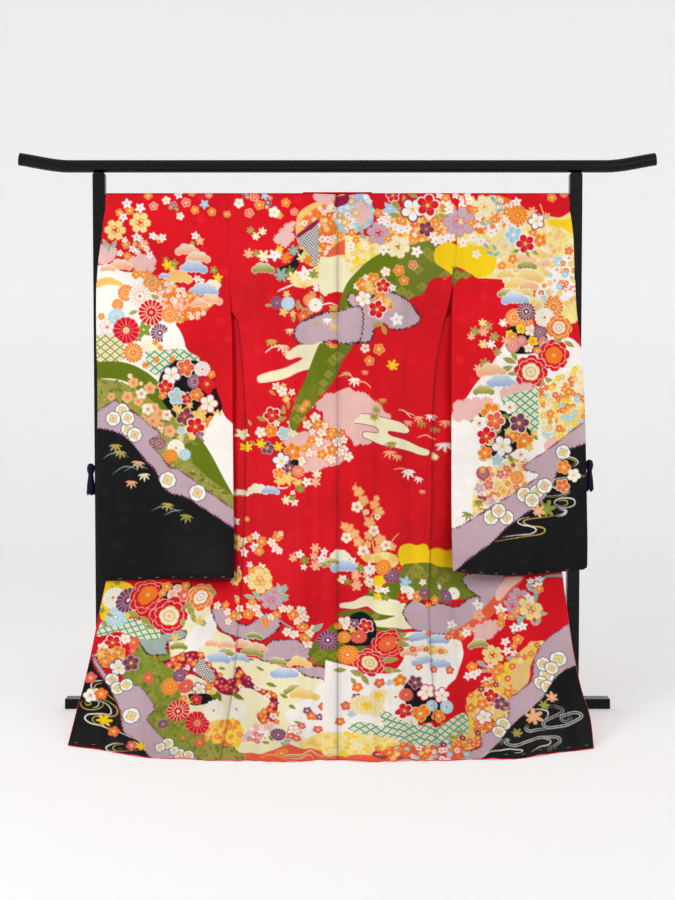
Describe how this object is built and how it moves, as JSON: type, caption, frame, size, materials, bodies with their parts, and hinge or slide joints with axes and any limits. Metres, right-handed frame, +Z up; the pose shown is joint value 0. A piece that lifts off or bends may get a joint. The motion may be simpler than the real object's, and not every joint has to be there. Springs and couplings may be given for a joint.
{
  "type": "furisode kimono on an iko stand",
  "caption": "Long-sleeved silk furisode hung open over the bar of a black lacquered iko stand, its back shown and its hem spread out on the floor.",
  "frame": {"origin": "on the floor, under the middle of the base bar", "axes": "+Z up, +X along the stand's bars towards the wearer's right side, -Y the way the garment's back faces"},
  "size_m": [1.7438, 0.8152, 1.5296],
  "materials": {
    "back_left": "dyed silk crepe, printed, lined in red",
    "back_right": "dyed silk crepe, printed, lined in red",
    "front_left": "dyed silk crepe, printed, lined in red",
    "front_right": "dyed silk crepe, printed, lined in red",
    "okumi_left": "dyed silk crepe, printed, lined in red",
    "okumi_right": "dyed silk crepe, printed, lined in red",
    "collar": "dyed silk crepe, printed, lined in red",
    "sleeve_left_near": "dyed silk crepe, printed, lined in red",
    "sleeve_left_far": "dyed silk crepe, printed, lined in red",
    "sleeve_right_near": "dyed silk crepe, printed, lined in red",
    "sleeve_right_far": "dyed silk crepe, printed, lined in red",
    "top_rail": "black lacquer",
    "post_left": "black lacquer",
    "post_right": "black lacquer",
    "base_bar": "black lacquer",
    "foot_left": "black lacquer",
    "foot_right": "black lacquer",
    "hanging_bar": "black lacquer",
    "tassel_left": "twisted silk cord",
    "tassel_right": "twisted silk cord"
  },
  "bodies": {
    "root": {"back_left": "back_left", "back_right": "back_right", "front_left": "front_left", "front_right": "front_right", "okumi_left": "okumi_left", "okumi_right": "okumi_right", "collar": "collar", "sleeve_left_near": "sleeve_left_near", "sleeve_left_far": "sleeve_left_far", "sleeve_right_near": "sleeve_right_near", "sleeve_right_far": "sleeve_right_far", "top_rail": "top_rail", "post_left": "post_left", "post_right": "post_right", "base_bar": "base_bar", "foot_left": "foot_left", "foot_right": "foot_right", "hanging_bar": "hanging_bar", "tassel_left": "tassel_left", "tassel_right": "tassel_right"}
  },
  "joints": []
}
